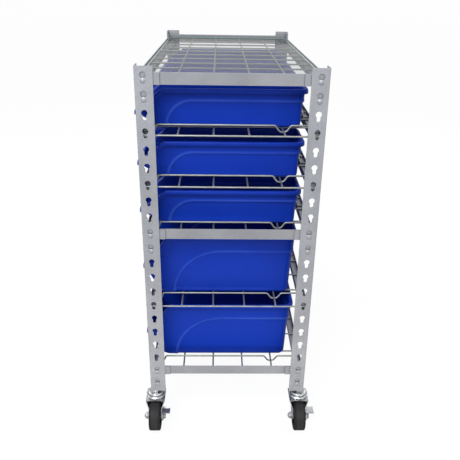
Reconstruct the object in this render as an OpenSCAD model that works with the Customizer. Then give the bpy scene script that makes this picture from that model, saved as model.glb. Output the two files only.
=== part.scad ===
// Mobile bin rack: four keyhole posts on swivel casters, riveted step beams, wire decks
// with clip-in dividers, a clear top sheet and sliding hopper-front bins.
// Front of the rack is -X, the end with the braked casters is -Y, up is +Z.

/* [Frame] */
// Width across the outer faces of the posts
rack_w = 394; // [380:1:420]
// Length across the outer faces of the posts
rack_l = 806; // [780:1:860]
// Length of a post
post_len = 812; // [812:1:900]
// Flange width of a post
post_flange = 38; // [36:0.5:45]
// Sheet thickness of a post
post_t = 2; // [1.5:0.1:2.5]
// Outer bend radius of a post
post_bend = 4; // [3:0.5:6]

/* [Keyholes] */
// Number of keyholes in a flange
key_count = 21; // [21:1:22]
// Distance from one keyhole to the next
key_pitch = 38.1; // [38.1:0.1:40]
// Distance from the post top to the first keyhole
key_first = 21.4; // [20:0.1:30]
// Distance from the outer corner to the keyhole line
key_gauge = 18; // [17:0.5:19]
// Diameter of the keyhole head
key_head = 13; // [12:0.5:14]
// Width of the keyhole slot
key_slot = 8; // [7.6:0.1:8.5]

/* [Beams] */
// Height of a beam section
beam_h = 24.4; // [24:0.2:26]
// Sheet thickness of a beam
beam_t = 1.5; // [1:0.1:2]
// Width of a beam section, step included
beam_w = 16; // [14:0.5:17]
// Depth of the ledge below a keyhole's reference point
ledge_drop = 8.5; // [8:0.1:10]
// Height of an end beam above the keyhole reference
end_beam_rise = 9; // [6:0.5:10]
// Height of the top front and back beams above the keyhole reference
top_beam_rise = 4; // [2:0.5:8]
// Thickness of a connector plate
plate_t = 2.5; // [2:0.1:3]
// Diameter of a rivet shank
rivet_shank = 7.5; // [6.5:0.1:7.5]
// Diameter of a rivet head
rivet_head = 12; // [11:0.5:12.5]
// Height of a rivet head
rivet_head_h = 2.4; // [1.8:0.1:3]

/* [Wire decks] */
// Wire diameter
wire_d = 4; // [3.5:0.1:4.2]
// Number of gaps between cross wires
cross_gaps = 10; // [8:1:12]
// Distance between the long wires
long_wire_pitch = 75; // [70:1:80]
// Height of a divider wire above the cross wires
divider_rise = 13.8; // [12:0.2:16]

/* [Bins] */
// Height of a small bin
small_h = 84; // [70:1:86]
// Height of a large bin
large_h = 160; // [140:1:162]
// Length of a bin from lip to back rim
bin_l = 375; // [350:1:378]
// Gap between neighbouring rims
bin_gap = 2; // [1.5:0.1:4]
// Wall thickness of a bin
bin_wall = 2; // [1.6:0.1:2.6]
// Reach of the rolled rim
bin_rim = 7; // [6:0.5:8]
// Height of the rolled rim
bin_rim_h = 10; // [8:0.5:12]
// Draft of the walls, inwards per millimetre of height
bin_draft = 0.04; // [0.03:0.01:0.05]
// Depth of the wall recess
bin_recess = 2.3; // [1.5:0.1:2.5]
// Height of a small bin's front lip
small_lip = 33; // [28:1:36]
// Height of a large bin's front lip
large_lip = 73; // [60:1:80]
// Length of a bin's sloped front
hopper_run = 64; // [56:1:70]

/* [Top sheet] */
// Thickness of the clear sheet
sheet_t = 3; // [2:0.5:5]

/* [Casters] */
// Height of the post ends above the floor
caster_h = 102; // [98:1:110]
// Wheel diameter
wheel_d = 75; // [70:1:76]
// Wheel width
wheel_w = 28; // [26:1:30]
// Horizontal distance from swivel to axle
caster_trail = 30; // [26:1:34]
// Distance of a swivel from the outer faces of a post
pivot_in = 11; // [11:0.5:13]
// Stem diameter
stem_d = 12; // [10:0.5:12]
// Thickness of the threaded plate in a post's foot
socket_t = 6; // [5:0.5:6]
// Axle diameter
axle_d = 10; // [8:0.5:10]
// Sheet thickness of a fork
fork_t = 2.5; // [2:0.1:3]
// Outer reach of a brake lever from the wheel's centre
brake_reach = 38; // [34:1:42]

/* [Hidden] */
$fn = 48;
small_bins = 5;
large_bins = 3;
rest_gap = 0.2;
run_fit = 0.05;
hold_fit = 0.05;
weld_sink = 0.4;

// places in plan, from the rack's middle
half_w = rack_w / 2;
half_l = rack_l / 2;
pivot_x = half_w - pivot_in;
pivot_y = half_l - pivot_in;
nut_reach = wheel_w / 2 + 14.5;
rivet_out = rivet_head_h + 0.1;
x_max = pivot_x + brake_reach;
x_min = -pivot_x - nut_reach;
crown_r = 24;
y_max = max(half_l + rivet_out, pivot_y + crown_r);
y_min = -pivot_y - caster_trail - wheel_d / 2;
shift = [-(x_max + x_min) / 2, -(y_max + y_min) / 2, 0];

// heights
rack_h = caster_h + post_len;
function key_z(n) = rack_h - key_first - key_pitch * (n - 1);
level_keys = [1, 4, 7, 10, 15, 20];
end_keys = [1, 10, 20];
cross_z = -ledge_drop + rest_gap + wire_d / 2;
long_z = cross_z + wire_d - weld_sink;
deck_top = long_z + wire_d / 2;
seat_z = deck_top + rest_gap;
slot_end = -7;
shelf_beam_rise = seat_z - 0.7;
rivet_z = slot_end - (key_slot - rivet_shank) / 2 + hold_fit;

// beams: plates lie inside the flanges, webs lie inside the plates
flange_in = post_t;
web_out = post_t + plate_t;
web_in = web_out + beam_t;
plate_edge = post_flange + 13;
plate_hidden = post_flange - 2;
plate_top = 11;
plate_bottom = -key_pitch - 22;
tube_x = half_w - web_out - beam_w - 2;
tube_y = half_l - web_in - 1;

// decks
cross_x = half_w - web_in - 1;
cross_y = half_l - web_in - 0.5 - wire_d / 2;
long_y = half_l - web_in - 0.5;

// bins
bin_field = rack_l - 96;
small_pitch = bin_field / small_bins;
large_pitch = bin_field / large_bins;
small_w = small_pitch - bin_gap;
large_w = 2 * floor((large_pitch - bin_gap) / 2);
bin_back = half_w - 32;
hopper_x = bin_back - bin_l + hopper_run;
wall_front = bin_back - bin_l + bin_rim;

// casters
wheel_r = wheel_d / 2;
crown_top = caster_h - 7;
fork_top = crown_top - 14;
fork_in = wheel_w / 2 + 1;
fork_out = fork_in + fork_t;
leg_end = 11;

// puts the children at one corner of the rack, mirrored so that its flanges point inwards
module at_corner(sx, sy) {
  translate([sx * half_w, sy * half_l, 0])
    mirror([sx > 0 ? 1 : 0, 0, 0]) mirror([0, sy > 0 ? 1 : 0, 0]) children();
}

// Posts

// keyhole outline about its reference point
module keyhole() {
  translate([0, 4]) circle(d = key_head);
  translate([-key_slot / 2, slot_end]) square([key_slot, 4 - slot_end]);
  translate([0, slot_end]) circle(d = key_slot);
}

module flange_plate() {
  translate([0, post_t, caster_h]) rotate([90, 0, 0]) linear_extrude(post_t) difference() {
    translate([post_bend, 0]) square([post_flange - post_bend, post_len]);
    for (n = [1:key_count]) translate([key_gauge, key_z(n) - caster_h]) keyhole();
  }
}

// rolled angle with its outer corner at the origin
module post() {
  flange_plate();
  mirror([1, -1, 0]) flange_plate();
  translate([0, 0, caster_h]) linear_extrude(post_len) intersection() {
    translate([post_bend, post_bend]) difference() {
      circle(post_bend);
      circle(post_bend - post_t);
    }
    square(post_bend);
  }
}

module post_at(sx, sy) color([0.68, 0.69, 0.71]) translate(shift) at_corner(sx, sy) post();

// Beams

// step section: outward face at x = 0, heights from the keyhole reference
module step_section(rise) {
  low = rise - beam_h;
  difference() {
    union() {
      translate([0, low]) square([beam_w, -ledge_drop - low]);
      translate([0, low]) square([beam_t, beam_h]);
    }
    translate([beam_t, low + beam_t])
      square([beam_w - 2 * beam_t, -ledge_drop - low - 2 * beam_t]);
  }
}

module end_beam(n) {
  translate([-tube_x, half_l - web_out, key_z(n)])
    rotate([90, 0, 90]) mirror([1, 0, 0]) linear_extrude(2 * tube_x)
      step_section(end_beam_rise);
}

module long_beam(n, rise) {
  translate([half_w - web_out, tube_y, key_z(n)])
    rotate([90, 0, 0]) mirror([1, 0, 0]) linear_extrude(2 * tube_y) step_section(rise);
}

module end_beams(n) color([0.66, 0.67, 0.69]) translate(shift)
  for (s = [0, 1]) mirror([0, s, 0]) end_beam(n);

module long_beams(n, rise) color([0.66, 0.67, 0.69]) translate(shift)
  for (s = [0, 1]) mirror([s, 0, 0]) long_beam(n, rise);

// plate with two rivets, lying in the plane y = 0 of a flange whose corner is at x = 0
module connector(n, rise, start) {
  translate([0, 0, key_z(n)]) {
    translate([0, web_out, 0]) rotate([90, 0, 0]) linear_extrude(plate_t) {
      translate([start, plate_bottom])
        square([plate_hidden - start, plate_top - plate_bottom]);
      translate([start, rise - beam_h]) square([plate_edge - start, beam_h]);
    }
    for (k = [0, 1]) translate([key_gauge, post_t, rivet_z - k * key_pitch])
      rotate([90, 0, 0]) {
        cylinder(h = post_t + 0.1, d = rivet_shank);
        translate([0, 0, post_t + 0.1]) rotate_extrude() intersection() {
          square([rivet_head / 2, rivet_head_h]);
          translate([0, rivet_head_h - 9]) circle(9);
        }
      }
  }
}

module beam_connectors() color([0.74, 0.75, 0.77]) translate(shift)
  for (sx = [-1, 1], sy = [-1, 1]) at_corner(sx, sy) {
    for (n = end_keys) connector(n, end_beam_rise, post_t + plate_t + 1);
    for (n = level_keys) mirror([1, -1, 0])
      connector(n, n == 1 ? top_beam_rise : shelf_beam_rise, post_t + plate_t + 1);
  }

// Wire decks

function unit(v) = v / norm(v);
function side(v) = [-v[1], v[0]];

// corner of a bent strip, d to the left of its centre line
function mitre(p, i, d) =
  let (a = unit(p[max(i, 1)] - p[max(i, 1) - 1]),
       b = unit(p[min(i + 1, len(p) - 1)] - p[min(i, len(p) - 2)]),
       n = side(unit(a + b)))
  p[i] + n * d / (n * side(a));

// flat strip of width d along a centre line
module strip(p, d) {
  polygon(concat([for (i = [0:len(p) - 1]) mitre(p, i, d / 2)],
                 [for (i = [len(p) - 1:-1:0]) mitre(p, i, -d / 2)]));
}

module deck(n) color([0.70, 0.72, 0.70]) translate(shift) translate([0, 0, key_z(n)]) {
  for (i = [0:cross_gaps])
    translate([-cross_x, -cross_y + i * 2 * cross_y / cross_gaps, cross_z])
      rotate([0, 90, 0]) cylinder(h = 2 * cross_x, d = wire_d);
  for (x = [-1.5, -0.5, 0.5, 1.5] * long_wire_pitch)
    translate([x, long_y, long_z]) rotate([90, 0, 0]) cylinder(h = 2 * long_y, d = wire_d);
}

// divider: feet on the ledges, a dip that clips under the last long wire
module divider() {
  high = cross_z + divider_rise;
  dip = long_z - wire_d - hold_fit;
  dip_x = 1.5 * long_wire_pitch;
  foot = cross_x - 2;
  route = [[-foot, cross_z], [-foot + 23, cross_z], [-foot + 28, high], [dip_x - 20, high],
           [dip_x - 6, dip], [dip_x + 6, dip], [dip_x + 20, high], [foot - 16, high],
           [foot - 12, cross_z], [foot, cross_z]];
  rotate([90, 0, 0]) {
    linear_extrude(wire_d, center = true) strip(route, wire_d * 0.6);
    linear_extrude(wire_d * 0.6, center = true) strip(route, wire_d);
  }
}

module wire_dividers() color([0.74, 0.76, 0.74]) translate(shift) {
  for (n = [4, 7, 10], k = [0:small_bins])
    translate([0, -bin_field / 2 + k * small_pitch, key_z(n)]) divider();
  for (n = [15, 20], k = [0:large_bins])
    translate([0, -bin_field / 2 + k * large_pitch, key_z(n)]) divider();
}

module top_sheet() color([0.75, 0.85, 0.85, 0.5]) translate(shift)
  translate([-(cross_x - 3), -long_y, key_z(1) + seat_z])
    cube([2 * (cross_x - 3), 2 * long_y, sheet_t]);

// Bins

// a bin's wall in section, outwards from its corner axis: floor, fillet, recessed foot,
// step, upper wall and rolled rim
module wall_section(reach, h, line, fillet) {
  foot = reach - (h - fillet) * bin_draft - bin_recess;
  out_1 = reach - (h - line) * bin_draft;
  out_2 = reach - (h - line - bin_wall) * bin_draft - bin_wall;
  polygon([[0, 0], [foot - fillet, 0], [foot, fillet], [out_1 - bin_recess, line],
           [out_1, line], [reach, h], [reach - bin_wall, h], [out_2, line + bin_wall],
           [out_2 - bin_recess, line + bin_wall], [foot - bin_wall, fillet],
           [foot - fillet, bin_wall], [0, bin_wall]]);
  foot_ring(foot, fillet);
  rim_section(reach, h);
}

// rounded outside of the foot
module foot_ring(foot, fillet) {
  intersection() {
    translate([foot - fillet, fillet]) difference() {
      circle(fillet);
      circle(fillet - bin_wall);
    }
    translate([foot - fillet, 0]) square(fillet);
  }
}

module rim_section(reach, h) {
  difference() {
    translate([reach - bin_wall, h - bin_rim_h]) square([bin_rim + bin_wall, bin_rim_h]);
    translate([reach - bin_wall - 1, h - bin_rim_h - 1])
      square([bin_rim + 1, bin_rim_h - bin_wall + 1]);
  }
}

// drafted block with rounded front corners that the scoop is cut from
module front_block(reach, width, x_front, x_back, h) {
  cb = width / 2 - reach;
  ca = x_front + reach;
  lean = h * bin_draft;
  for (s = [-1, 1]) translate([ca, s * cb, 0]) cylinder(h = h, r1 = reach - lean, r2 = reach);
  rotate([90, 0, 0]) linear_extrude(2 * cb, center = true)
    polygon([[x_back, 0], [x_back, h], [x_front, h], [x_front + lean, 0]]);
  translate([ca, 0, 0]) rotate([90, 0, 90]) linear_extrude(x_back - ca)
    polygon([[lean - width / 2, 0], [width / 2 - lean, 0], [width / 2, h], [-width / 2, h]]);
}

function front_slope(h, lip) = atan2(h - lip, hopper_run);

// side outline of the scoop, drawn in by g from below and in front and open upwards
module scoop_outline(h, lip, x_a, g) {
  slope = front_slope(h, lip);
  edge = g > 0 ? 1 : 0;
  up = g > 0 ? 3 : -bin_wall / 2 / cos(slope);
  x_wall = wall_front + g * 0.5;
  polygon([[x_a + edge, g], [hopper_x - 2, g], [hopper_x - 19 + g * 0.5, 9 + g],
           [x_wall, lip - 8 + g], [x_wall, lip + (x_wall - wall_front + bin_rim) * tan(slope) + up],
           [hopper_x, h + up], [x_a + edge, h + up]]);
}

// inside of the arc in which the side's step turns down to the floor
module arc_disc(x_c, r) {
  translate([x_c, 0, 0]) rotate([90, 0, 0]) cylinder(h = 500, r = r, center = true);
}

// recessed side wall inside the arc, and the step along the arc
module arc_wall(x_c, cb, reach, h, line, fillet) {
  foot = reach - (h - fillet) * bin_draft - bin_recess;
  top = reach - (h - line - bin_wall) * bin_draft - bin_recess;
  x_a = x_c - line - bin_wall;
  intersection() {
    translate([x_a, cb, 0]) rotate([90, 0, 90]) linear_extrude(x_c - x_a) {
      polygon([[0, 0], [foot - fillet, 0], [foot, fillet], [top, line + bin_wall],
               [top - bin_wall, line + bin_wall], [foot - bin_wall, fillet],
               [foot - fillet, bin_wall], [0, bin_wall]]);
      foot_ring(foot, fillet);
    }
    arc_disc(x_c, line + bin_wall);
  }
  intersection() {
    translate([x_a, cb, 0]) rotate([90, 0, 90]) linear_extrude(x_c - x_a)
      polygon([[foot - fillet, 0], [reach - h * bin_draft, 0], [reach, h],
               [reach - bin_recess - bin_wall, h], [foot - bin_wall, fillet],
               [foot - fillet, bin_wall]]);
    difference() {
      arc_disc(x_c, line + bin_wall);
      arc_disc(x_c, line);
    }
  }
}

// scoop at the front: side cheeks, rising bottom and rounded lip corners in one skin
module scoop(w, h, line, lip, corner, x_a) {
  wall_half = w / 2 - bin_rim;
  difference() {
    intersection() {
      front_block(corner, 2 * wall_half, wall_front, x_a, h);
      rotate([90, 0, 0]) linear_extrude(w, center = true) scoop_outline(h, lip, x_a, 0);
    }
    intersection() {
      front_block(corner - bin_wall, 2 * (wall_half - bin_wall), wall_front + bin_wall,
                  x_a + 1, h);
      rotate([90, 0, 0]) linear_extrude(w, center = true)
        scoop_outline(h, lip, x_a, bin_wall);
    }
  }
}

// rolled rim along the cheeks, down the slope and round the lip
module front_rim(w, h, lip, corner, x_c) {
  slope = front_slope(h, lip);
  m = tan(slope / 2);
  x_f = bin_back - bin_l;
  lean = (h - lip) * bin_draft;
  cb = w / 2 - bin_rim - corner;
  inner = corner - bin_wall - lean;
  intersection() {
    rotate([90, 0, 0]) linear_extrude(w + 2, center = true)
      polygon([[x_c, h], [hopper_x, h], [x_f, lip], [x_f, lip - bin_rim_h],
               [x_f + bin_rim_h * m, lip - bin_rim_h],
               [hopper_x + bin_rim_h * m, h - bin_rim_h], [x_c, h - bin_rim_h]]);
    linear_extrude(h + 1) difference() {
      rim_plan(w / 2, corner + bin_rim, x_f, x_c);
      rim_plan(w / 2 - bin_wall, corner + bin_rim - bin_wall, x_f + bin_wall, x_c + 1);
    }
  }
  intersection() {
    rotate([90, 0, 0]) linear_extrude(w + 2, center = true)
      polygon([[x_c, h], [hopper_x, h], [x_f, lip], [x_f, lip - bin_wall / cos(slope)],
               [hopper_x + bin_wall * m, h - bin_wall], [x_c, h - bin_wall]]);
    linear_extrude(h + 1) difference() {
      rim_plan(w / 2, corner + bin_rim, x_f, x_c);
      polygon([[x_c + 1, cb + corner - bin_wall], [hopper_x, cb + corner - bin_wall],
               [wall_front + corner, cb + inner], [wall_front + corner, -cb - inner],
               [hopper_x, bin_wall - cb - corner], [x_c + 1, bin_wall - cb - corner]]);
      translate([wall_front + corner - inner, -cb]) square([inner + 1, 2 * cb]);
      for (s = [-1, 1]) translate([wall_front + corner, s * cb]) circle(inner);
    }
  }
}

// plan of the front with rounded corners, from x_0 back to x_1
module rim_plan(half, r, x_0, x_1) {
  translate([x_0 + r, -half]) square([x_1 - x_0 - r, 2 * half]);
  translate([x_0, r - half]) square([r + 1, 2 * (half - r)]);
  for (s = [-1, 1]) translate([x_0 + r, s * (half - r)]) circle(r);
}

module bin(w, h, line, lip, corner, fillet) {
  cb = w / 2 - bin_rim - corner;
  ca = bin_back - bin_rim - corner;
  x_c = hopper_x + 14 * h / large_h + line;
  foot = corner - (h - fillet) * bin_draft - bin_recess - fillet;
  // sides, back corners and back wall
  for (s = [0, 1]) mirror([0, s, 0]) {
    translate([x_c, cb, 0]) rotate([90, 0, 90])
      linear_extrude(ca - x_c) wall_section(corner, h, line, fillet);
    translate([ca, cb, 0]) rotate_extrude(angle = 90) wall_section(corner, h, line, fillet);
    arc_wall(x_c, cb, corner, h, line, fillet);
  }
  translate([ca, 0, 0]) rotate([90, 0, 0])
    linear_extrude(2 * cb, center = true) wall_section(corner, h, line, fillet);
  // floor and scoop
  translate([x_c - line, -cb - foot / 2, 0])
    cube([ca - x_c + line + foot / 2, 2 * cb + foot, bin_wall]);
  difference() {
    scoop(w, h, line, lip, corner, x_c);
    arc_disc(x_c, line);
  }
  front_rim(w, h, lip, corner, x_c);
}

module bin_at(n, pitch, k, w, h, line, lip, corner, fillet)
  color([0.11, 0.22, 0.66]) translate(shift)
    translate([0, -bin_field / 2 + (k - 0.5) * pitch, key_z(n) + seat_z])
      bin(w, h, line, lip, corner, fillet);

module small_bin(n, k)
  bin_at(n, small_pitch, k, small_w, small_h, small_h - 28, small_lip, 16, 8);

module large_bin(n, k)
  bin_at(n, large_pitch, k, large_w, large_h, large_h - 45, large_lip, 20, 10);

// Casters

// puts the children on one swivel axis, all wheels trailing towards -Y
module at_pivot(sx, sy) translate(shift) translate([sx * pivot_x, sy * pivot_y, 0]) children();

// threaded plate welded inside the foot of a post
module socket() {
  depth = post_flange - 4;
  translate([0, 0, caster_h]) linear_extrude(socket_t) difference() {
    polygon([[post_t + 2.5, post_t], [depth, post_t], [depth, post_t + 16],
             [post_t + 16, depth], [post_t, depth], [post_t, post_t + 2.5]]);
    translate([pivot_in, pivot_in]) circle(stem_d / 2 + hold_fit);
  }
}

module caster_sockets() color([0.62, 0.63, 0.64]) translate(shift)
  for (sx = [-1, 1], sy = [-1, 1]) at_corner(sx, sy) socket();

// stem with its hexagon, upper race and the rivet head that carries the fork
module stem() {
  translate([0, 0, fork_top - 6])
    cylinder(h = caster_h + socket_t - fork_top + 6, d = stem_d);
  translate([0, 0, fork_top - fork_t - 3.2]) cylinder(h = 3, d = stem_d + 6);
  translate([0, 0, crown_top - 0.5]) cylinder(h = 7.5, d = 22, $fn = 6);
  translate([0, 0, crown_top]) rotate_extrude() {
    translate([0, -6.8]) square([16, 6.8]);
    translate([0, -6.8]) square([20, 2.8]);
    translate([16, -4]) intersection() {
      circle(4);
      square(4);
    }
  }
}

module caster_stems() color([0.72, 0.72, 0.74])
  for (sx = [-1, 1], sy = [-1, 1]) at_pivot(sx, sy) stem();

// point where a line from p touches a circle
function touch(p, c, r, s) =
  let (v = p - c, d = norm(v), a = atan2(v[1], v[0]) + s * acos(r / d))
  c + r * [cos(a), sin(a)];

// bent fork: shoulders narrow to the legs, legs narrow to the axle, cup on top for the race
module fork() {
  axle = [-caster_trail, wheel_r];
  back = [-crown_r, fork_top - 6];
  front = [crown_r - 2, fork_top - 8];
  difference() {
    union() {
      intersection() {
        rotate([90, 0, 0]) linear_extrude(160, center = true) difference() {
          polygon([[-fork_out, 0], [-fork_out, fork_top - 22], [-crown_r, fork_top - 6],
                   [-crown_r, fork_top], [crown_r, fork_top], [crown_r, fork_top - 6],
                   [fork_out, fork_top - 22], [fork_out, 0]]);
          polygon([[-fork_in, -1], [-fork_in, fork_top - 22.6],
                   [fork_t - crown_r, fork_top - 6.6], [fork_t - crown_r, fork_top - fork_t],
                   [crown_r - fork_t, fork_top - fork_t], [crown_r - fork_t, fork_top - 6.6],
                   [fork_in, fork_top - 22.6], [fork_in, -1]]);
        }
        rotate([90, 0, 90]) linear_extrude(3 * crown_r, center = true) {
          polygon([touch(back, axle, leg_end, 1), back, [-crown_r, fork_top],
                   [crown_r, fork_top], [crown_r, fork_top - 4], front,
                   touch(front, axle, leg_end, -1), axle]);
          translate(axle) circle(leg_end);
        }
      }
      translate([0, 0, fork_top]) cylinder(h = 5, r = crown_r);
      translate([0, 0, fork_top + 5]) cylinder(h = 2, r1 = crown_r, r2 = crown_r - 2);
    }
    translate([0, 0, fork_top - fork_t - 1]) cylinder(h = 12, r = stem_d / 2 + run_fit);
    translate([0, -caster_trail, wheel_r]) rotate([0, 90, 0])
      cylinder(h = 80, r = axle_d / 2 + hold_fit, center = true);
  }
}

// wheel: tread with rounded shoulders, dished disc and hub
module wheel() {
  hw = wheel_w / 2;
  hub = fork_in - 0.4;
  rim_r = wheel_r - 11;
  hub_r = axle_d / 2 + 6;
  translate([0, -caster_trail, wheel_r]) rotate([0, 90, 0]) rotate_extrude() difference() {
    union() {
      translate([0, -hw]) square([wheel_r - 3, 2 * hw]);
      translate([0, 3 - hw]) square([wheel_r, 2 * hw - 6]);
      for (s = [-1, 1]) translate([wheel_r - 3, s * (hw - 3)]) circle(3);
      translate([0, -hub]) square([hub_r, 2 * hub]);
    }
    translate([-1, -hw - 5]) square([1 + axle_d / 2 + run_fit, 2 * hw + 10]);
    for (s = [0, 1]) mirror([0, s]) translate([hub_r, 5])
      polygon([[0, 0], [rim_r - hub_r - 3, 0], [rim_r - hub_r, hw], [0, hw]]);
  }
}

// axle bolt: head on the outer side, domed nut on the other
module axle(outer) {
  nut = nut_reach - fork_out;
  translate([0, -caster_trail, wheel_r]) rotate([0, 90, 0]) {
    translate([0, 0, -fork_out]) cylinder(h = fork_out + outer, d = axle_d);
    translate([0, 0, outer]) cylinder(h = 5.5, d = 18, $fn = 6);
    translate([0, 0, -fork_out - 6]) cylinder(h = 6, d = 18, $fn = 6);
    translate([0, 0, -fork_out - 5.5]) rotate([180, 0, 0]) rotate_extrude() intersection() {
      square([7.5, nut - 5.5]);
      translate([0, nut - 5.5 - 8]) circle(8);
    }
  }
}

// brake lever on the axle: cam plate against the leg, winged pedal turned outwards
module brake() {
  x0 = fork_out + 0.2;
  // the pressed pedal stays outside the fork's shoulder
  flare = (crown_r - fork_out) * max(0, wheel_r + norm([12, 18.5]) - fork_top + 22) / 16;
  x1 = fork_out + ceil(10 * flare + 5) / 10;
  translate([0, -caster_trail, wheel_r]) {
    translate([x0, 0, 0]) rotate([0, 90, 0]) difference() {
      union() {
        cylinder(h = fork_t, r = 13);
        translate([-16, -10, 0]) cube([16, 20, fork_t]);
      }
      translate([0, 0, -1]) cylinder(h = fork_t + 2, r = axle_d / 2 + run_fit);
    }
    translate([x1, 0, 13.5]) rotate([90, 0, 90]) linear_extrude(brake_reach - x1)
      polygon([[-12, 3], [-12, 5], [-8, 2.5], [8, 2.5], [12, 5], [12, 3], [8, 0],
               [-8, 0]]);
  }
}

module fork_at(sx, sy) color([0.72, 0.73, 0.75]) at_pivot(sx, sy) fork();
module wheel_at(sx, sy) color([0.10, 0.10, 0.11]) at_pivot(sx, sy) wheel();
module axle_at(sx, sy) color([0.70, 0.70, 0.72])
  at_pivot(sx, sy) axle(sy < 0 ? fork_out + fork_t + 0.4 : fork_out);
module brake_at(sx, sy) color([0.70, 0.71, 0.72]) at_pivot(sx, sy) brake();

post_at(-1, -1);  // post_front_right
post_at(1, -1);  // post_back_right
post_at(-1, 1);  // post_front_left
post_at(1, 1);  // post_back_left
end_beams(1);  // end_beams_top
end_beams(10);  // end_beams_middle
end_beams(20);  // end_beams_bottom
long_beams(1, top_beam_rise);  // long_beams_top
long_beams(4, shelf_beam_rise);  // long_beams_shelf_1
long_beams(7, shelf_beam_rise);  // long_beams_shelf_2
long_beams(10, shelf_beam_rise);  // long_beams_shelf_3
long_beams(15, shelf_beam_rise);  // long_beams_shelf_4
long_beams(20, shelf_beam_rise);  // long_beams_shelf_5
beam_connectors();
deck(1);  // deck_top
deck(4);  // deck_shelf_1
deck(7);  // deck_shelf_2
deck(10);  // deck_shelf_3
deck(15);  // deck_shelf_4
deck(20);  // deck_shelf_5
wire_dividers();
top_sheet();
small_bin(4, 1);  // bin_1_1
small_bin(4, 2);  // bin_1_2
small_bin(4, 3);  // bin_1_3
small_bin(4, 4);  // bin_1_4
small_bin(4, 5);  // bin_1_5
small_bin(7, 1);  // bin_2_1
small_bin(7, 2);  // bin_2_2
small_bin(7, 3);  // bin_2_3
small_bin(7, 4);  // bin_2_4
small_bin(7, 5);  // bin_2_5
small_bin(10, 1);  // bin_3_1
small_bin(10, 2);  // bin_3_2
small_bin(10, 3);  // bin_3_3
small_bin(10, 4);  // bin_3_4
small_bin(10, 5);  // bin_3_5
large_bin(15, 1);  // bin_4_1
large_bin(15, 2);  // bin_4_2
large_bin(15, 3);  // bin_4_3
large_bin(20, 1);  // bin_5_1
large_bin(20, 2);  // bin_5_2
large_bin(20, 3);  // bin_5_3
caster_sockets();
caster_stems();
fork_at(-1, -1);  // fork_front_right
fork_at(1, -1);  // fork_back_right
fork_at(-1, 1);  // fork_front_left
fork_at(1, 1);  // fork_back_left
wheel_at(-1, -1);  // wheel_front_right
wheel_at(1, -1);  // wheel_back_right
wheel_at(-1, 1);  // wheel_front_left
wheel_at(1, 1);  // wheel_back_left
axle_at(-1, -1);  // axle_front_right
axle_at(1, -1);  // axle_back_right
axle_at(-1, 1);  // axle_front_left
axle_at(1, 1);  // axle_back_left
brake_at(-1, -1);  // brake_front_right
brake_at(1, -1);  // brake_back_right
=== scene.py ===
import math
import bmesh
import bpy
from mathutils import Matrix, Vector


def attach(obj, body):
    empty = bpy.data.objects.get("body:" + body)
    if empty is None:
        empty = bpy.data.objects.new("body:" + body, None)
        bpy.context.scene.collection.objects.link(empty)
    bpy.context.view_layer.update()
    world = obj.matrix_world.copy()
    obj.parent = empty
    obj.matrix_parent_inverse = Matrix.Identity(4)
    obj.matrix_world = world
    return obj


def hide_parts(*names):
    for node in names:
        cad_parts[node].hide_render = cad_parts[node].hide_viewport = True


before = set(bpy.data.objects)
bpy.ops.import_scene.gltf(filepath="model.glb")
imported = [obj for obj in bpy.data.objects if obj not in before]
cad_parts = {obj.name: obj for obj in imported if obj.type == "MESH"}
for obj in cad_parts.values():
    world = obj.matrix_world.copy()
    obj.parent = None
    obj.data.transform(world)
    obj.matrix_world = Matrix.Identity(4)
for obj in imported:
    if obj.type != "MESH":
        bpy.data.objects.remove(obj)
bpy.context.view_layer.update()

# Posts
# Four rolled angles of 2 mm steel, punched with keyholes down both flanges and galvanised
# after punching, so the zinc has a fine matt spangle with rubbed, brighter edges.


def new_material(name, metallic=0.0, roughness=0.5):
    mat = bpy.data.materials.new(name)
    mat.use_nodes = True
    nodes = mat.node_tree.nodes
    nodes.clear()
    out = nodes.new("ShaderNodeOutputMaterial")
    shader = nodes.new("ShaderNodeBsdfPrincipled")
    shader.inputs["Roughness"].default_value = roughness
    shader.inputs["Metallic"].default_value = metallic
    mat.node_tree.links.new(shader.outputs["BSDF"], out.inputs["Surface"])
    return mat, shader


def add_node(tree, kind, **values):
    made = tree.nodes.new(kind)
    for key, value in values.items():
        if hasattr(made, key):
            setattr(made, key, value)
        else:
            made.inputs[key.replace("_", " ")].default_value = value
    return made


def new_group(name, ins, outs):
    tree = bpy.data.node_groups.new(name, "ShaderNodeTree")
    for label, value in ins.items():
        made = tree.interface.new_socket(label, in_out="INPUT", socket_type="NodeSocketFloat")
        made.default_value = value
    for label in outs:
        tree.interface.new_socket(label, in_out="OUTPUT", socket_type="NodeSocketFloat")
    return tree, tree.nodes.new("NodeGroupInput"), tree.nodes.new("NodeGroupOutput")


def use_group(tree, group, **values):
    made = tree.nodes.new("ShaderNodeGroup")
    made.node_tree = group
    for label, value in values.items():
        made.inputs[label].default_value = value
    return made


# a Mix node's sockets for colours, which share their names with those for numbers
COLOUR_A, COLOUR_B, COLOUR_RESULT = 6, 7, 2


def mix_colours(tree, mask, low, high):
    mix = tree.nodes.new("ShaderNodeMix")
    mix.data_type = "RGBA"
    tree.links.new(mask, mix.inputs["Factor"])
    for socket, value in ((mix.inputs[COLOUR_A], low), (mix.inputs[COLOUR_B], high)):
        if isinstance(value, tuple):
            socket.default_value = (*value, 1)
        else:
            tree.links.new(value, socket)
    return mix.outputs[COLOUR_RESULT]


def spread(tree, value, low=0.0, high=1.0, start=0.0, stop=1.0):
    ranged = add_node(tree, "ShaderNodeMapRange", From_Min=start, From_Max=stop, To_Min=low,
                      To_Max=high)
    tree.links.new(value, ranged.inputs["Value"])
    return ranged.outputs["Result"]


def raise_surface(tree, shader, height, strength, distance=0.0002):
    raised = add_node(tree, "ShaderNodeBump", Strength=strength, Distance=distance)
    tree.links.new(height, raised.inputs["Height"])
    tree.links.new(raised.outputs["Normal"], shader.inputs["Normal"])


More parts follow.
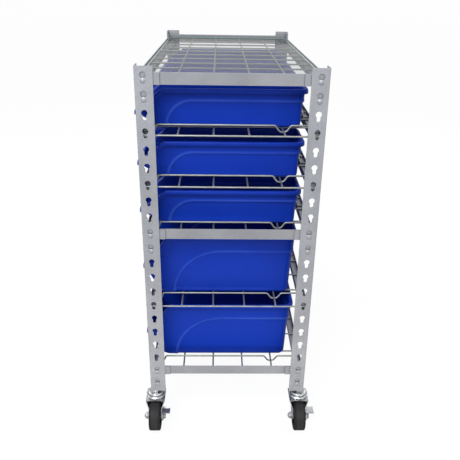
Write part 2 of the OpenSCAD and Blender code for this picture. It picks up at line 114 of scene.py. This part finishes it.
# zinc spangle: fine grains, broad clouds and a height for the bump
CELL_HEIGHT = 0.6
spangle, g_in, g_out = new_group("zinc_spangle", {"Grain": 900.0, "Cloud": 14.0},
                                 ("Speckle", "Cloudiness", "Height"))
coords = add_node(spangle, "ShaderNodeTexCoord")
cells = add_node(spangle, "ShaderNodeTexVoronoi")
grain = add_node(spangle, "ShaderNodeTexNoise", Detail=3.0)
cloud = add_node(spangle, "ShaderNodeTexNoise", Detail=4.0)
cell_step = add_node(spangle, "ShaderNodeMath", operation="MULTIPLY")
cell_step.inputs[1].default_value = CELL_HEIGHT
add_up = add_node(spangle, "ShaderNodeMath", operation="ADD")
to_grey = add_node(spangle, "ShaderNodeSeparateColor")
for tex in (cells, grain, cloud):
    spangle.links.new(coords.outputs["Object"], tex.inputs["Vector"])
spangle.links.new(g_in.outputs["Grain"], cells.inputs["Scale"])
spangle.links.new(g_in.outputs["Grain"], grain.inputs["Scale"])
spangle.links.new(g_in.outputs["Cloud"], cloud.inputs["Scale"])
spangle.links.new(cells.outputs["Color"], to_grey.inputs["Color"])
spangle.links.new(to_grey.outputs["Red"], cell_step.inputs[0])
spangle.links.new(cell_step.outputs[0], add_up.inputs[0])
spangle.links.new(grain.outputs["Fac"], add_up.inputs[1])
spangle.links.new(to_grey.outputs["Red"], g_out.inputs["Speckle"])
spangle.links.new(cloud.outputs["Fac"], g_out.inputs["Cloudiness"])
spangle.links.new(add_up.outputs[0], g_out.inputs["Height"])

# paler edges where the rounded normal leaves the face's own: rubbed wear on the zinc, a painted
# highlight on the bins' rims and steps
EDGE_ROUND_RADIUS = 0.0009
edge_rub_and_highlight, g_in, g_out = new_group("edge_rub_and_highlight", {"Sharpness": 6.0}, ("Edge",))
rounded = add_node(edge_rub_and_highlight, "ShaderNodeBevel", samples=4, Radius=EDGE_ROUND_RADIUS)
flat = add_node(edge_rub_and_highlight, "ShaderNodeNewGeometry")
turn = add_node(edge_rub_and_highlight, "ShaderNodeVectorMath", operation="DISTANCE")
scale = add_node(edge_rub_and_highlight, "ShaderNodeMath", operation="MULTIPLY", use_clamp=True)
spots = add_node(edge_rub_and_highlight, "ShaderNodeTexNoise", Scale=160.0, Detail=3.0)
where = add_node(edge_rub_and_highlight, "ShaderNodeTexCoord")
broken = add_node(edge_rub_and_highlight, "ShaderNodeMath", operation="MULTIPLY", use_clamp=True)
edge_rub_and_highlight.links.new(rounded.outputs["Normal"], turn.inputs[0])
edge_rub_and_highlight.links.new(flat.outputs["Normal"], turn.inputs[1])
edge_rub_and_highlight.links.new(turn.outputs["Value"], scale.inputs[0])
edge_rub_and_highlight.links.new(g_in.outputs["Sharpness"], scale.inputs[1])
edge_rub_and_highlight.links.new(where.outputs["Object"], spots.inputs["Vector"])
edge_rub_and_highlight.links.new(scale.outputs[0], broken.inputs[0])
edge_rub_and_highlight.links.new(spots.outputs["Fac"], broken.inputs[1])
edge_rub_and_highlight.links.new(broken.outputs[0], g_out.inputs["Edge"])

# painted shade in hollows: the colour darkens where close neighbours shut out the light
OPEN_FACE = 0.85
DEEP_HOLLOW = 0.30
PAINTED_SHADE_COLOUR = (0.09, 0.09, 0.10)
hollow_painted_shade, g_in, g_out = new_group("hollow_painted_shade", {"Reach": 0.006}, ("Hollow",))
openness = add_node(hollow_painted_shade, "ShaderNodeAmbientOcclusion", samples=6)
hollow_painted_shade.links.new(g_in.outputs["Reach"], openness.inputs["Distance"])
hollow = spread(hollow_painted_shade, openness.outputs["AO"], start=OPEN_FACE, stop=DEEP_HOLLOW)
hollow_painted_shade.links.new(hollow, g_out.inputs["Hollow"])


def zinc_finish(name, roughness, metallic, dark, light, rub, grain_size=900.0, bump=0.15):
    mat, shader = new_material(name, metallic)
    tree = mat.node_tree
    zinc = use_group(tree, spangle, Grain=grain_size)
    edge_mask = use_group(tree, edge_rub_and_highlight)
    speckled = mix_colours(tree, zinc.outputs["Speckle"], dark, light)
    clouded = tree.nodes.new("ShaderNodeMix")
    clouded.data_type = "RGBA"
    clouded.blend_type = "SOFT_LIGHT"
    clouded.inputs["Factor"].default_value = 0.35
    tree.links.new(speckled, clouded.inputs[COLOUR_A])
    tree.links.new(zinc.outputs["Cloudiness"], clouded.inputs[COLOUR_B])
    # painted shade: the colour turns dark in gaps and hollows, such as round the keyholes
    shade_in_hollows = use_group(tree, hollow_painted_shade)
    bright = mix_colours(tree, edge_mask.outputs["Edge"], clouded.outputs[COLOUR_RESULT], rub)
    tree.links.new(mix_colours(tree, shade_in_hollows.outputs["Hollow"], bright, PAINTED_SHADE_COLOUR),
                   shader.inputs["Base Color"])
    tree.links.new(spread(tree, zinc.outputs["Cloudiness"], roughness - 0.07, roughness + 0.1),
                   shader.inputs["Roughness"])
    raise_surface(tree, shader, zinc.outputs["Height"], bump)
    return mat


def dress(node_name, mat):
    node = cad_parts[node_name]
    node.data.materials.clear()
    node.data.materials.append(mat)


CORNERS = ("front_right", "back_right", "front_left", "back_left")
post_zinc = zinc_finish("post_zinc", roughness=0.5, metallic=0.45, dark=(0.345, 0.352, 0.375),
                        light=(0.43, 0.44, 0.465), rub=(0.60, 0.61, 0.63))
for corner in CORNERS:
    dress("post_" + corner, post_zinc)

# End and long beams
# Cold-rolled step beams of 1.5 mm steel with the same zinc, smoother than the posts because
# the roll leaves the faces flat; the edges are rubbed bright by handling.

LEVELS = ("top", "shelf_1", "shelf_2", "shelf_3", "shelf_4", "shelf_5")
FLAT_DARK, FLAT_LIGHT = (0.325, 0.33, 0.35), (0.37, 0.375, 0.395)
beam_zinc = zinc_finish("beam_zinc", roughness=0.46, metallic=0.45, dark=FLAT_DARK,
                        light=FLAT_LIGHT, rub=(0.70, 0.71, 0.72), bump=0.1)
for level in ("top", "middle", "bottom"):
    dress("end_beams_" + level, beam_zinc)
for level in LEVELS:
    dress("long_beams_" + level, beam_zinc)

# Connector plates and rivets
# Pressed plates welded to the beam ends, each hung by two cold-headed rivets in keyholes;
# plates and rivets keep the dull zinc, only a little brighter at the edges.

plate_zinc = zinc_finish("plate_zinc", roughness=0.5, metallic=0.45, dark=FLAT_DARK,
                         light=FLAT_LIGHT, rub=(0.50, 0.51, 0.52))
dress("beam_connectors", plate_zinc)

# Wire decks
# Drawn 4 mm wire, cross wires lying on the ledges and long wires welded over them, zinc
# plated after welding; the cropped ends of the long wires carry a painted highlight.

# middle of the posts in plan
MID_X, MID_Y = -0.00475, 0.02175
# from there along the deck: where the long wires' cropped ends and their painted highlight begin
TIP_HIGHLIGHT_FROM = 0.3967


def off_middle(tree, axis):
    coords = tree.nodes.new("ShaderNodeTexCoord")
    middle = tree.nodes.new("ShaderNodeMapping")
    middle.inputs["Location"].default_value = (-MID_X, -MID_Y, 0)
    split = tree.nodes.new("ShaderNodeSeparateXYZ")
    distance = add_node(tree, "ShaderNodeMath", operation="ABSOLUTE")
    tree.links.new(coords.outputs["Object"], middle.inputs["Vector"])
    tree.links.new(middle.outputs["Vector"], split.inputs["Vector"])
    tree.links.new(split.outputs[axis], distance.inputs[0])
    return distance.outputs[0]


def beyond(tree, axis, limit):
    past = add_node(tree, "ShaderNodeMath", operation="GREATER_THAN")
    past.inputs[1].default_value = limit
    tree.links.new(off_middle(tree, axis), past.inputs[0])
    return past.outputs[0]


def wire_finish(name, highlight_from):
    mat, shader = new_material(name, metallic=0.7, roughness=0.42)
    tree = mat.node_tree
    zinc = use_group(tree, spangle, Grain=500.0, Cloud=40.0)
    drawn = mix_colours(tree, zinc.outputs["Cloudiness"], (0.22, 0.23, 0.21), (0.42, 0.43, 0.40))
    # painted highlight: near-white colour on the long wires' cropped ends
    tip_highlight = beyond(tree, "Y", highlight_from)
    tree.links.new(mix_colours(tree, tip_highlight, drawn, (0.88, 0.89, 0.9)),
                   shader.inputs["Base Color"])
    raise_surface(tree, shader, zinc.outputs["Height"], 0.12)
    return mat


deck_wire = wire_finish("deck_wire", TIP_HIGHLIGHT_FROM)
for level in LEVELS:
    dress("deck_" + level, deck_wire)

# Wire dividers
# One bent wire between each pair of bins, resting on the ledges at both ends, raised along
# the bins and dipped near the back so that it clips under the last long wire.

# height of the uppermost keyhole and the pitch down the post
KEY_TOP = 0.8926
KEY_PITCH = 0.0381
# each shelf's keyhole, counted from the top, and the number of its bins
SHELVES = {1: (4, 5), 2: (7, 5), 3: (10, 5), 4: (15, 3), 5: (20, 3)}
# length of the row of bins on a shelf
BIN_ROW = 0.71
WIRE_RADIUS = 0.002
# most of a short stretch that a bend at its end may take
BEND_SHARE = 0.49
BEND_STEPS = 7
# no divider reaches this far, so none has the painted highlight on its ends
NOWHERE = 9.0
divider_wire = wire_finish("divider_wire", NOWHERE)


def round_bends(points, radii):
    softened = [points[0]]
    for before, here, after, radius in zip(points, points[1:], points[2:], radii[1:]):
        a, b = before - here, after - here
        turn = math.pi - a.angle(b)
        reach = min(radius * math.tan(turn / 2), a.length * BEND_SHARE, b.length * BEND_SHARE)
        start, end = here + a.normalized() * reach, here + b.normalized() * reach
        for i in range(BEND_STEPS + 1):
            t = i / BEND_STEPS
            softened.append(start * (1 - t) ** 2 + here * 2 * t * (1 - t) + end * t * t)
    softened.append(points[-1])
    return softened


# heights of the wire's middle over the shelf's keyhole: on the ledge, along the bins, in the dip
ON_LEDGE, RAISED, DIPPED = -0.0063, 0.0075, -0.00675
FOOT_BEND, SHOULDER_BEND, DIP_BEND = 0.006, 0.007, 0.012
# from the hopper end to the back: place along the wire, its height and the bend's radius
side_route = [(-0.188, ON_LEDGE, 0), (-0.165, ON_LEDGE, FOOT_BEND),
              (-0.160, RAISED, FOOT_BEND), (0.0955, RAISED, SHOULDER_BEND),
              (0.1055, DIPPED, DIP_BEND), (0.1195, DIPPED, DIP_BEND),
              (0.1295, RAISED, SHOULDER_BEND), (0.172, RAISED, FOOT_BEND),
              (0.176, ON_LEDGE, FOOT_BEND), (0.188, ON_LEDGE, 0)]
dividers = bpy.data.curves.new("divider_wires", "CURVE")
dividers.dimensions = "3D"
dividers.bevel_depth = WIRE_RADIUS
dividers.bevel_resolution = 3
dividers.use_fill_caps = True
for key, count in SHELVES.values():
    level_z = KEY_TOP - KEY_PITCH * (key - 1)
    for k in range(count + 1):
        y = MID_Y - BIN_ROW / 2 + k * BIN_ROW / count
        route = round_bends([Vector((MID_X + x, y, level_z + z)) for x, z, r in side_route],
                            [r for x, z, r in side_route])
        spline = dividers.splines.new("POLY")
        spline.points.add(len(route) - 1)
        for point, place in zip(spline.points, route):
            point.co = (*place, 1)
        spline.use_smooth = True
divider_set = bpy.data.objects.new("divider_wires", dividers)
scene = bpy.context.scene
scene.collection.objects.link(divider_set)
dividers.materials.append(divider_wire)
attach(divider_set, "rack")
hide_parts("wire_dividers")

# Top sheet
# Clear 3 mm acrylic laid loose on the top deck; polished faces with a few hairline scuffs
# and saw-cut edges that show pale green.

# from the middle to the saw-cut borders, and how much each part of the sheet hides
BORDER_X, BORDER_Y = 0.1857, 0.3949
CLEAR_COVER, EDGE_COVER = 0.26, 0.85
sheet_acrylic, shader = new_material("sheet_acrylic")
tree = sheet_acrylic.node_tree
shader.inputs["IOR"].default_value = 1.49
shader.inputs["Specular IOR Level"].default_value = 0.3
coords = tree.nodes.new("ShaderNodeTexCoord")
long_scuffs = tree.nodes.new("ShaderNodeMapping")
long_scuffs.inputs["Scale"].default_value = (40, 4, 40)
hairlines = add_node(tree, "ShaderNodeTexNoise", Scale=9.0, Detail=8.0)
tree.links.new(coords.outputs["Object"], long_scuffs.inputs["Vector"])
tree.links.new(long_scuffs.outputs["Vector"], hairlines.inputs["Vector"])
cut_edge = add_node(tree, "ShaderNodeMath", operation="MAXIMUM")
tree.links.new(beyond(tree, "X", BORDER_X), cut_edge.inputs[0])
tree.links.new(beyond(tree, "Y", BORDER_Y), cut_edge.inputs[1])
clear = mix_colours(tree, hairlines.outputs["Fac"], (0.012, 0.035, 0.036), (0.03, 0.06, 0.06))
tree.links.new(mix_colours(tree, cut_edge.outputs[0], clear, (0.62, 0.78, 0.70)),
               shader.inputs["Base Color"])
haze = spread(tree, hairlines.outputs["Fac"], low=0.04, high=0.2, start=0.45, stop=0.8)
cover = spread(tree, cut_edge.outputs[0], low=CLEAR_COVER, high=EDGE_COVER)
tree.links.new(haze, shader.inputs["Roughness"])
tree.links.new(cover, shader.inputs["Alpha"])
raise_surface(tree, shader, hairlines.outputs["Fac"], 0.04, distance=0.0003)
dress("top_sheet", sheet_acrylic)

# Bins
# Injection-moulded polypropylene, dyed royal blue right through: glossy on the drafted
# walls, with flow clouding, fine mould texture and a painted highlight, paler blue, on rim and
# step corners.

# how strongly the painted highlight on the corners shows
HIGHLIGHT_SHARPNESS = 1.6
bin_plastic, shader = new_material("bin_plastic")
shader.inputs["Specular IOR Level"].default_value = 0.16
tree = bin_plastic.node_tree
coords = tree.nodes.new("ShaderNodeTexCoord")
flow = add_node(tree, "ShaderNodeTexNoise", Scale=7.0, Detail=3.0, Distortion=0.6)
texture = add_node(tree, "ShaderNodeTexNoise", Scale=1400.0, Detail=2.0)
for tex in (flow, texture):
    tree.links.new(coords.outputs["Object"], tex.inputs["Vector"])
edge_mask = use_group(tree, edge_rub_and_highlight, Sharpness=HIGHLIGHT_SHARPNESS)
# painted highlight: the bead over the side's step is painted paler
step_highlight = add_node(tree, "ShaderNodeAttribute", attribute_name="step_highlight")
bead_highlight = add_node(tree, "ShaderNodeMath", operation="MULTIPLY", use_clamp=True)
paler_mask = add_node(tree, "ShaderNodeMath", operation="MAXIMUM")
tree.links.new(step_highlight.outputs["Fac"], bead_highlight.inputs[0])
tree.links.new(flow.outputs["Fac"], bead_highlight.inputs[1])
tree.links.new(edge_mask.outputs["Edge"], paler_mask.inputs[0])
tree.links.new(bead_highlight.outputs[0], paler_mask.inputs[1])
body_blue = mix_colours(tree, flow.outputs["Fac"], (0.0022, 0.027, 0.34), (0.0050, 0.040, 0.43))
# painted highlight: paler blue on rim corners and along the step's bead
tree.links.new(mix_colours(tree, paler_mask.outputs[0], body_blue, (0.04, 0.11, 0.60)),
               shader.inputs["Base Color"])
tree.links.new(spread(tree, flow.outputs["Fac"], low=0.32, high=0.46),
               shader.inputs["Roughness"])
raise_surface(tree, shader, texture.outputs["Fac"], 0.06)
# along the bin, from the middle of the posts: back, top of the hopper slope, front lip
BIN_BACK = 0.165
HOPPER_X = -0.146
LIP_X = -0.210
# where the scoop's bottom starts to rise, and its first bend
SCOOP_START = (-0.148, 0.0)
SCOOP_BEND = (-0.165, 0.009)
SCOOP_UNDER_LIP = 0.008
# rolled rim: how far it stands out and hangs down, and how its folds are rounded
RIM_OUT = 0.007
RIM_DROP = 0.010
FOLD_ROUND = 0.0018
WALL = 0.002
# inwards per metre of height
DRAFT = 0.04
# share of its radius that a leaning corner or foot is bevelled by
CORNER_SHARE, FOOT_SHARE = 0.93, 0.9
# step in the sides: its depth, the band that it takes and the bead along its top
RECESS = 0.0023
STEP_BAND = 0.004
BEAD = 0.0009
BEAD_MIDDLE, BEAD_REACH = 0.002, 0.004
# the arc's set-back from the hopper on a large bin, and that bin's height
ARC_BACK, LARGE_HEIGHT = 0.014, 0.160
# fine cuts that carry the step
CUT_PITCH = 0.002
CUTS_BEFORE, CUTS_OVER = 0.006, 0.008
# a bin's floor over the shelf's keyhole
BIN_FLOOR = -0.0005


def bin_skin(width, height, step, lip, corner, fillet):
    half = width / 2 - RIM_OUT
    front, back = LIP_X + RIM_OUT, BIN_BACK - RIM_OUT
    front_axis, back_axis, side_axis = front + corner, back - corner, half - corner
    arc_x = HOPPER_X + ARC_BACK * height / LARGE_HEIGHT + step
    slope = math.atan2(height - lip, HOPPER_X - LIP_X)

    # drafted block, open on top, with rounded corners and a rounded foot
    bm = bmesh.new()
    highlight_layer = bm.verts.layers.float.new("step_highlight")
    bmesh.ops.create_cube(bm, size=2)
    for v in bm.verts:
        lean = 0 if v.co.z > 0 else height * DRAFT
        v.co = Vector((back - lean if v.co.x > 0 else front + lean,
                       math.copysign(half - lean, v.co.y), height if v.co.z > 0 else 0))
    bmesh.ops.delete(bm, geom=[f for f in bm.faces if f.normal.z > 0.9], context="FACES")
    uprights = [e for e in bm.edges if abs(e.verts[0].co.z - e.verts[1].co.z) > 0.01]
    bmesh.ops.bevel(bm, geom=uprights, offset=corner * CORNER_SHARE, affect="EDGES",
                    segments=8, profile=0.5, material=-1)
    foot = [e for e in bm.edges if e.verts[0].co.z < 1e-5 and e.verts[1].co.z < 1e-5]
    bmesh.ops.bevel(bm, geom=foot, offset=fillet * FOOT_SHARE, affect="EDGES", segments=5,
                    profile=0.5, material=-1)

    def cut(place, normal, clear=True):
        return bmesh.ops.bisect_plane(bm, geom=bm.verts[:] + bm.edges[:] + bm.faces[:],
                                      dist=1e-6, plane_co=place, plane_no=normal,
                                      clear_outer=clear)["geom_cut"]

    # rising bottom of the scoop
    scoop = (SCOOP_START, SCOOP_BEND, (front, lip - SCOOP_UNDER_LIP))
    for a, b in zip(scoop, scoop[1:]):
        opened = cut((a[0], 0, a[1]), (a[1] - b[1], 0, b[0] - a[0]))
        hole = [e for e in opened if isinstance(e, bmesh.types.BMEdge)]
        bmesh.ops.contextual_create(bm, geom=hole)

    # hopper slope and rim height, one wall under the finished rim
    cut((HOPPER_X, 0, height - WALL / math.cos(slope)), (-math.sin(slope), 0, math.cos(slope)))
    cut((0, 0, height - WALL), (0, 0, 1))

    # fine cuts where the side's step runs
    for i in range(int((step + CUTS_OVER) / CUT_PITCH) + 1):
        cut((0, 0, CUT_PITCH + i * CUT_PITCH), (0, 0, 1), False)
        cut((arc_x - step - CUTS_BEFORE + i * CUT_PITCH, 0, 0), (1, 0, 0), False)
    bmesh.ops.remove_doubles(bm, verts=bm.verts[:], dist=2.5e-4)
    bmesh.ops.dissolve_degenerate(bm, edges=bm.edges[:], dist=1e-4)
    for v in bm.verts:
        out = Vector((v.co.x - min(max(v.co.x, front_axis), back_axis),
                      v.co.y - min(max(v.co.y, -side_axis), side_axis), 0))
        inside = step - math.hypot(min(v.co.x - arc_x, 0), v.co.z)
        t = min(max(inside / STEP_BAND, 0), 1)
        bead = BEAD * max(0, 1 - ((inside + BEAD_MIDDLE) / BEAD_REACH) ** 2)
        if out.length > 1e-4 and v.co.x > front_axis:
            v.co -= out.normalized() * (RECESS * t * t * (3 - 2 * t) - bead)
            # painted highlight mask along the bead, read by the bin material
            v[highlight_layer] = bead / BEAD

    # rolled rim: out, then down
    edge = [e for e in bm.edges if e.is_boundary]
    folds = edge[:]
    grown = bmesh.ops.extrude_edge_only(bm, edges=edge)["geom"]
    for v in [g for g in grown if isinstance(g, bmesh.types.BMVert)]:
        axis = Vector((min(max(v.co.x, front_axis), back_axis),
                       min(max(v.co.y, -side_axis), side_axis), v.co.z))
        v.co = axis + (v.co - axis).normalized() * (corner + RIM_OUT - WALL)
        v.co.z = min(height - WALL, height - WALL / math.cos(slope)
                     - (HOPPER_X - v.co.x) * math.tan(slope))
    edge = [g for g in grown if isinstance(g, bmesh.types.BMEdge)]
    folds += edge
    grown = bmesh.ops.extrude_edge_only(bm, edges=edge)["geom"]
    bmesh.ops.translate(bm, vec=(0, 0, WALL - RIM_DROP),
                        verts=[g for g in grown if isinstance(g, bmesh.types.BMVert)])
    bmesh.ops.bevel(bm, geom=folds, offset=FOLD_ROUND, affect="EDGES", segments=3,
                    profile=0.5, material=-1)
    for f in bm.faces:
        f.smooth = True
    return bm


# width, height, reach of the side's step, lip height, corner and foot radius
SMALL_BIN = (0.140, 0.084, 0.056, 0.033, 0.016, 0.008)
LARGE_BIN = (0.234, LARGE_HEIGHT, 0.115, 0.073, 0.020, 0.010)
for size, shelves in ((SMALL_BIN, (1, 2, 3)), (LARGE_BIN, (4, 5))):
    skin = bin_skin(*size)
    moulding = bpy.data.meshes.new("bin_moulding")
    skin.to_mesh(moulding)
    skin.free()
    moulding.set_sharp_from_angle(angle=math.radians(42))
    moulding.materials.append(bin_plastic)
    for shelf in shelves:
        key, count = SHELVES[shelf]
        for place in range(1, count + 1):
            shell = moulding.copy()
            shell.transform(Matrix.Translation((
                MID_X, MID_Y - BIN_ROW / 2 + (place - 0.5) * BIN_ROW / count,
                KEY_TOP - KEY_PITCH * (key - 1) + BIN_FLOOR)))
            moulded = bpy.data.objects.new(f"bin_shell_{shelf}_{place}", shell)
            scene.collection.objects.link(moulded)
            wall = moulded.modifiers.new("wall", "SOLIDIFY")
            wall.thickness = WALL
            wall.offset = -1
            wall.use_quality_normals = True
            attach(moulded, f"bin_{shelf}_{place}_body")
            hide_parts(f"bin_{shelf}_{place}")

# Caster sockets, stems, forks, axles and brakes
# Pressed and turned steel, bright zinc plated: a thin blue-white plate with sharp
# reflections, a few rubbed spots and painted shade darkening the hollows.

bright_zinc = zinc_finish("bright_zinc", roughness=0.26, metallic=0.9,
                          dark=(0.40, 0.41, 0.42), light=(0.56, 0.57, 0.59),
                          rub=(0.82, 0.83, 0.85), grain_size=350.0, bump=0.08)
for name in ("caster_sockets", "caster_stems"):
    dress(name, bright_zinc)
for corner in CORNERS:
    dress("fork_" + corner, bright_zinc)
    dress("axle_" + corner, bright_zinc)
for corner in ("front_right", "back_right"):
    dress("brake_" + corner, bright_zinc)

# Wheels
# Hard rubber tyres moulded on a dark core, worn to a slightly paler, duller band where they
# run on the floor.

# from the middle to a wheel's own middle, and from there to the running band's soft edge
WHEEL_X = 0.186
BAND_END, BAND_FULL = 0.011, 0.007
tyre, shader = new_material("tyre_rubber", roughness=0.62)
shader.inputs["Specular IOR Level"].default_value = 0.22
tree = tyre.node_tree
coords = tree.nodes.new("ShaderNodeTexCoord")
dust = add_node(tree, "ShaderNodeTexNoise", Scale=90.0, Detail=5.0)
grit = add_node(tree, "ShaderNodeTexNoise", Scale=900.0, Detail=2.0)
for tex in (dust, grit):
    tree.links.new(coords.outputs["Object"], tex.inputs["Vector"])
from_wheel = add_node(tree, "ShaderNodeMath", operation="SUBTRACT")
from_wheel.inputs[1].default_value = WHEEL_X
sideways = add_node(tree, "ShaderNodeMath", operation="ABSOLUTE")
paler_mask = add_node(tree, "ShaderNodeMath", operation="MULTIPLY")
tree.links.new(off_middle(tree, "X"), from_wheel.inputs[0])
tree.links.new(from_wheel.outputs[0], sideways.inputs[0])
tree.links.new(spread(tree, sideways.outputs[0], start=BAND_END, stop=BAND_FULL), paler_mask.inputs[0])
tree.links.new(dust.outputs["Fac"], paler_mask.inputs[1])
tree.links.new(mix_colours(tree, paler_mask.outputs[0], (0.008, 0.008, 0.009), (0.035, 0.034, 0.033)),
               shader.inputs["Base Color"])
raise_surface(tree, shader, grit.outputs["Fac"], 0.25, distance=0.0003)
for corner in CORNERS:
    dress("wheel_" + corner, tyre)

# Floor, light and camera
# A plain white floor under a white studio: a broad cool lamp over the near end, a warm strip
# near the floor and weaker lamps round the other sides, with the photograph's camera.

# share of the floor's look that is plain white to the camera; the rest holds the shadow
BACKDROP_SHARE = 0.8
floor_mesh = bmesh.new()
bmesh.ops.create_grid(floor_mesh, x_segments=1, y_segments=1, size=40.0)
floor_data = bpy.data.meshes.new("studio_floor")
floor_mesh.to_mesh(floor_data)
floor_mesh.free()
studio_floor = bpy.data.objects.new("studio_floor", floor_data)
scene.collection.objects.link(studio_floor)
floor_paint, shader = new_material("floor_paint", roughness=0.6)
shader.inputs["Base Color"].default_value = (0.46, 0.46, 0.46, 1)
tree = floor_paint.node_tree
white = add_node(tree, "ShaderNodeEmission", Strength=1.15)
white.inputs["Color"].default_value = (1, 1, 1, 1)
path = tree.nodes.new("ShaderNodeLightPath")
seen = add_node(tree, "ShaderNodeMath", operation="MULTIPLY")
seen.inputs[1].default_value = BACKDROP_SHARE
mixed = tree.nodes.new("ShaderNodeMixShader")
out = next(n for n in tree.nodes if n.type == "OUTPUT_MATERIAL")
tree.links.new(path.outputs["Is Camera Ray"], seen.inputs[0])
tree.links.new(seen.outputs[0], mixed.inputs["Fac"])
tree.links.new(shader.outputs["BSDF"], mixed.inputs[1])
tree.links.new(white.outputs["Emission"], mixed.inputs[2])
tree.links.new(mixed.outputs["Shader"], out.inputs["Surface"])
floor_data.materials.append(floor_paint)

world = bpy.data.worlds.new("studio")
scene.world = world
world.use_nodes = True
tree = world.node_tree
tree.nodes.clear()
soft = add_node(tree, "ShaderNodeBackground", Strength=0.45)
soft.inputs["Color"].default_value = (0.96, 0.97, 1.0, 1)
white = add_node(tree, "ShaderNodeBackground", Strength=1.0)
white.inputs["Color"].default_value = (1, 1, 1, 1)
path = tree.nodes.new("ShaderNodeLightPath")
either = add_node(tree, "ShaderNodeMath", operation="MAXIMUM")
any_of = add_node(tree, "ShaderNodeMath", operation="MAXIMUM")
mixed = tree.nodes.new("ShaderNodeMixShader")
out = tree.nodes.new("ShaderNodeOutputWorld")
tree.links.new(path.outputs["Is Camera Ray"], either.inputs[0])
tree.links.new(path.outputs["Is Glossy Ray"], either.inputs[1])
tree.links.new(either.outputs[0], any_of.inputs[0])
tree.links.new(path.outputs["Is Transmission Ray"], any_of.inputs[1])
tree.links.new(any_of.outputs[0], mixed.inputs["Fac"])
tree.links.new(soft.outputs["Background"], mixed.inputs[1])
tree.links.new(white.outputs["Background"], mixed.inputs[2])
tree.links.new(mixed.outputs["Shader"], out.inputs["Surface"])

NEUTRAL = (1.0, 1.0, 1.0)


def soft_lamp(name, place, aim, size, watts, tint=NEUTRAL):
    data = bpy.data.lights.new(name, "AREA")
    data.shape = "RECTANGLE"
    data.size, data.size_y = size
    data.energy = watts
    data.color = tint
    lamp = bpy.data.objects.new(name, data)
    lamp.location = place
    lamp.rotation_mode = "QUATERNION"
    lamp.rotation_quaternion = (Vector(aim) - Vector(place)).to_track_quat("-Z", "Y")
    scene.collection.objects.link(lamp)
    return lamp


soft_lamp("near_lamp", place=(-0.6, -2.0, 2.3), aim=(0, -0.3, 0.9), size=(1.6, 1.0), watts=50,
          tint=(0.93, 0.96, 1.0))
soft_lamp("front_lamp", place=(-2.4, 0.7, 1.9), aim=(0, 0, 0.5), size=(1.8, 1.4), watts=24)
soft_lamp("back_lamp", place=(2.3, 1.6, 1.8), aim=(0, 0, 0.5), size=(1.8, 1.4), watts=20)
soft_lamp("fill_lamp", place=(1.9, -2.0, 1.2), aim=(0, 0, 0.4), size=(1.6, 1.6), watts=9)
low_lamp = soft_lamp("low_lamp", place=(0, -0.80, 0.06), aim=(0, -0.35, 0.14),
                     size=(0.9, 0.08), watts=1.3, tint=(1.0, 0.93, 0.84))
# too near the glossy bins to be mirrored in them
low_lamp.visible_glossy = False

# the photograph's camera: turned right, tilted down and rolled, in degrees, where it stands,
# the photograph's side and its lens in pixels
TURNED, TILTED, ROLLED = 1.348, 24.562, 0.930
CAMERA_X, CAMERA_Y, CAMERA_Z = -0.03135, -1.51075, 1.0756
PHOTO_SIDE = 460
LENS_PIXELS = 553.42
SENSOR = 36.0
yaw, pitch, roll = math.radians(TURNED), math.radians(TILTED), math.radians(ROLLED)
ahead = Vector((math.sin(yaw) * math.cos(pitch), math.cos(yaw) * math.cos(pitch),
                -math.sin(pitch)))
level = Vector((math.cos(yaw), -math.sin(yaw), 0))
above = level.cross(ahead)
right = level * math.cos(roll) + above * math.sin(roll)
up = above * math.cos(roll) - level * math.sin(roll)
camera_data = bpy.data.cameras.new("photo_camera")
camera_data.sensor_width = SENSOR
camera_data.lens = SENSOR * LENS_PIXELS / PHOTO_SIDE
camera_data.clip_end = 200.0
camera = bpy.data.objects.new("photo_camera", camera_data)
camera.matrix_world = Matrix(((right.x, up.x, -ahead.x, CAMERA_X),
                              (right.y, up.y, -ahead.y, CAMERA_Y),
                              (right.z, up.z, -ahead.z, CAMERA_Z),
                              (0, 0, 0, 1)))
scene.collection.objects.link(camera)
scene.camera = camera
scene.view_settings.view_transform = "Standard"
